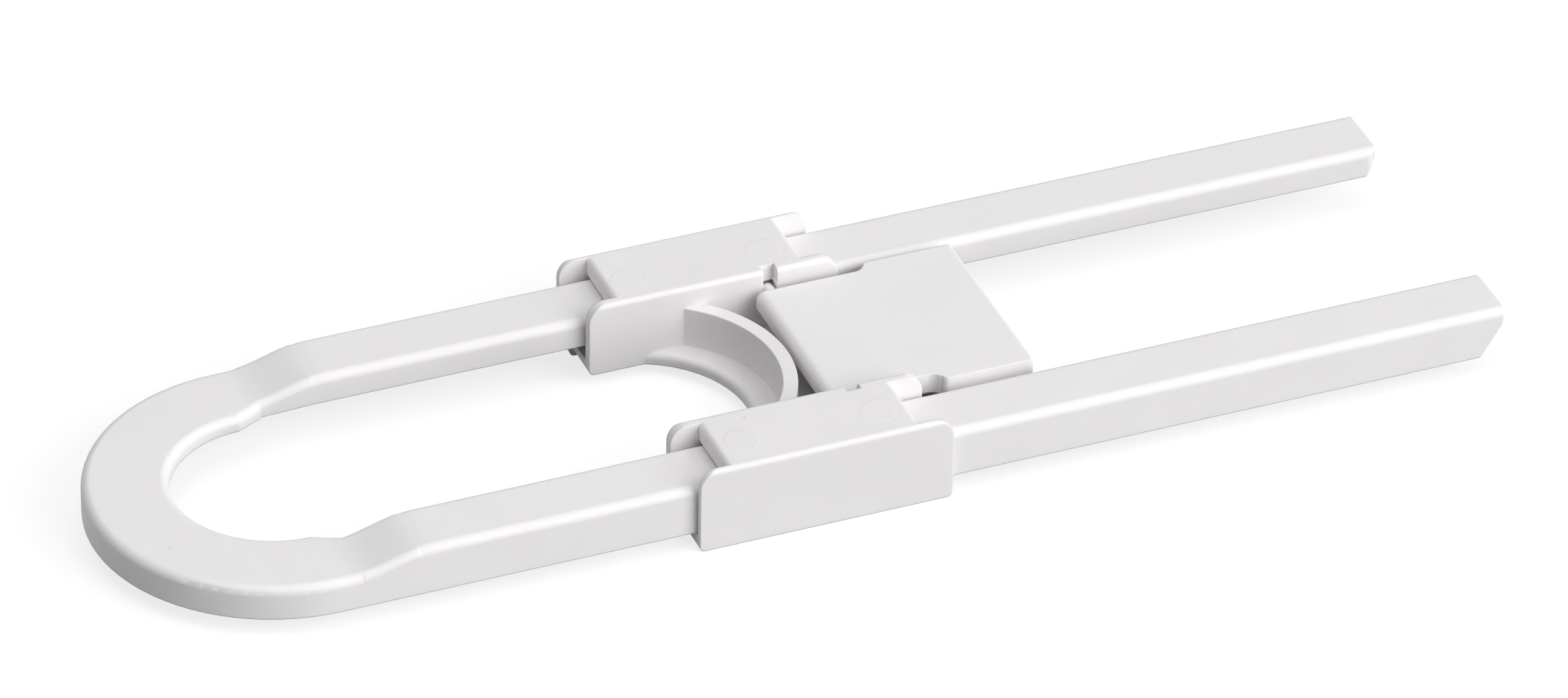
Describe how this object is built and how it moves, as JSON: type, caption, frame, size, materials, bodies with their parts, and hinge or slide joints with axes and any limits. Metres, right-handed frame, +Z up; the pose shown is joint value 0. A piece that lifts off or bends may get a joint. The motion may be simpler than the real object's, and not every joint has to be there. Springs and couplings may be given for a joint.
{
  "type": "sliding cabinet safety lock",
  "caption": "White sliding cabinet lock for two knobs: a U-shaped bow with racks under its legs, a slider on two sleeves and a sprung release flap that frees the slider.",
  "frame": {"origin": "Middle of the base rectangle of the whole lock in its stored position; Z = 0 is the underside of the slider's two deep floor strips.", "axes": "+X runs from the loop to the leg tips along the travel of the slider, +Y across the legs, +Z up through the tops of the legs, away from the cabinet doors."},
  "size_m": [0.2, 0.0554, 0.013],
  "materials": {
    "white_plastic": "moulded white plastic with a soft gloss",
    "white_plastic_flap": "moulded white plastic with a soft gloss",
    "spring_steel": "bright drawn spring wire"
  },
  "bodies": {
    "bow": {"bow": "white_plastic"},
    "slider": {"slider": "white_plastic", "return_spring": "spring_steel"},
    "flap": {"release_flap": "white_plastic_flap"}
  },
  "joints": [
    {"name": "slider_travel", "type": "slide", "parent": "bow", "child": "slider", "axis": [1, 0, 0], "range_m": [-0.036, 0.126]},
    {"name": "flap_press", "type": "hinge", "parent": "slider", "child": "flap", "pos_m": [0.0055, 0, 0.0091], "axis": [0, 1, 0], "range_deg": [0, 6], "stiffness_Nm_per_rad": 0.2, "springref_deg": -17.19, "deforming": ["return_spring"]}
  ]
}
